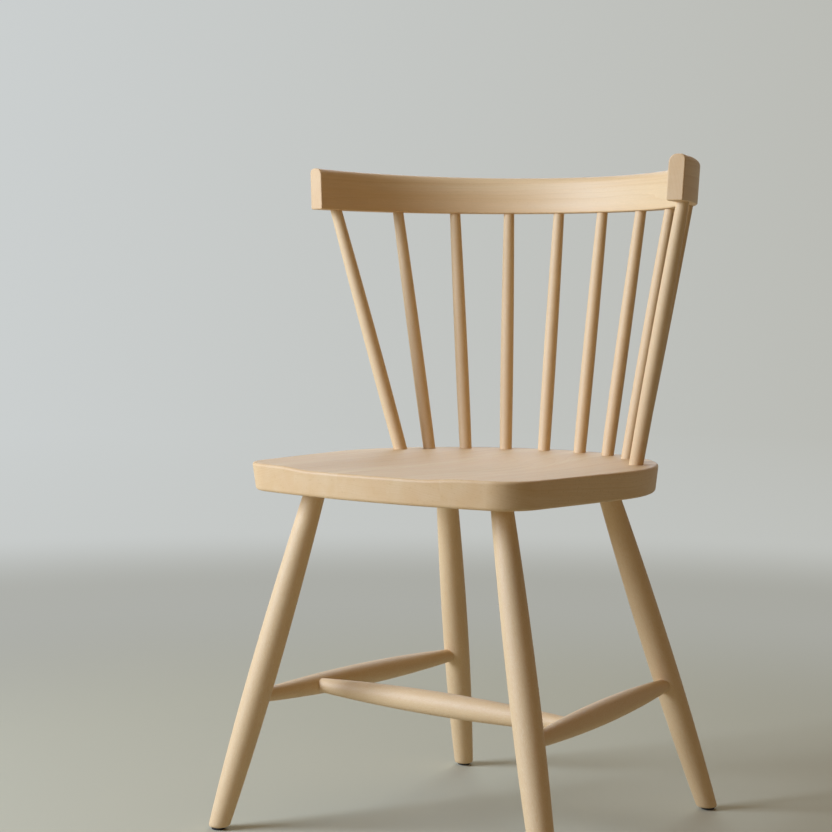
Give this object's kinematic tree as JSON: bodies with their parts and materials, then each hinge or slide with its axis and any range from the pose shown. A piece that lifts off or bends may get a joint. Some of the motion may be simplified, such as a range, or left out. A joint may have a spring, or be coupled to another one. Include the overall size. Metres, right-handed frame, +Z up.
{
  "type": "windsor chair",
  "caption": "Spindle-back wooden dining chair: saddled seat, splayed turned legs joined by stretchers, and a fan of spindles under a deeply bent crest rail.",
  "frame": {"origin": "middle of the overall bounding box in plan, on the floor", "axes": "+Z up, -Y the way the chair faces, +X to the right as seen from the front"},
  "size_m": [0.5374, 0.49, 0.802],
  "materials": {
    "beech": "pale soap-finished beech, matt to satin",
    "glide_plastic": "black moulded plastic, matt",
    "nail_steel": "plain steel wire"
  },
  "bodies": {
    "root": {"seat": "beech", "crest_rail": "beech", "leg_front_left": "beech", "leg_front_right": "beech", "leg_rear_left": "beech", "leg_rear_right": "beech", "side_stretcher_left": "beech", "side_stretcher_right": "beech", "cross_stretcher": "beech", "spindle_01": "beech", "spindle_02": "beech", "spindle_03": "beech", "spindle_04": "beech", "spindle_05": "beech", "spindle_06": "beech", "spindle_07": "beech", "spindle_08": "beech", "spindle_09": "beech", "spindle_10": "beech", "glide_front_left": "glide_plastic", "glide_front_right": "glide_plastic", "glide_rear_left": "glide_plastic", "glide_rear_right": "glide_plastic", "glide_nails": "nail_steel"}
  },
  "joints": []
}
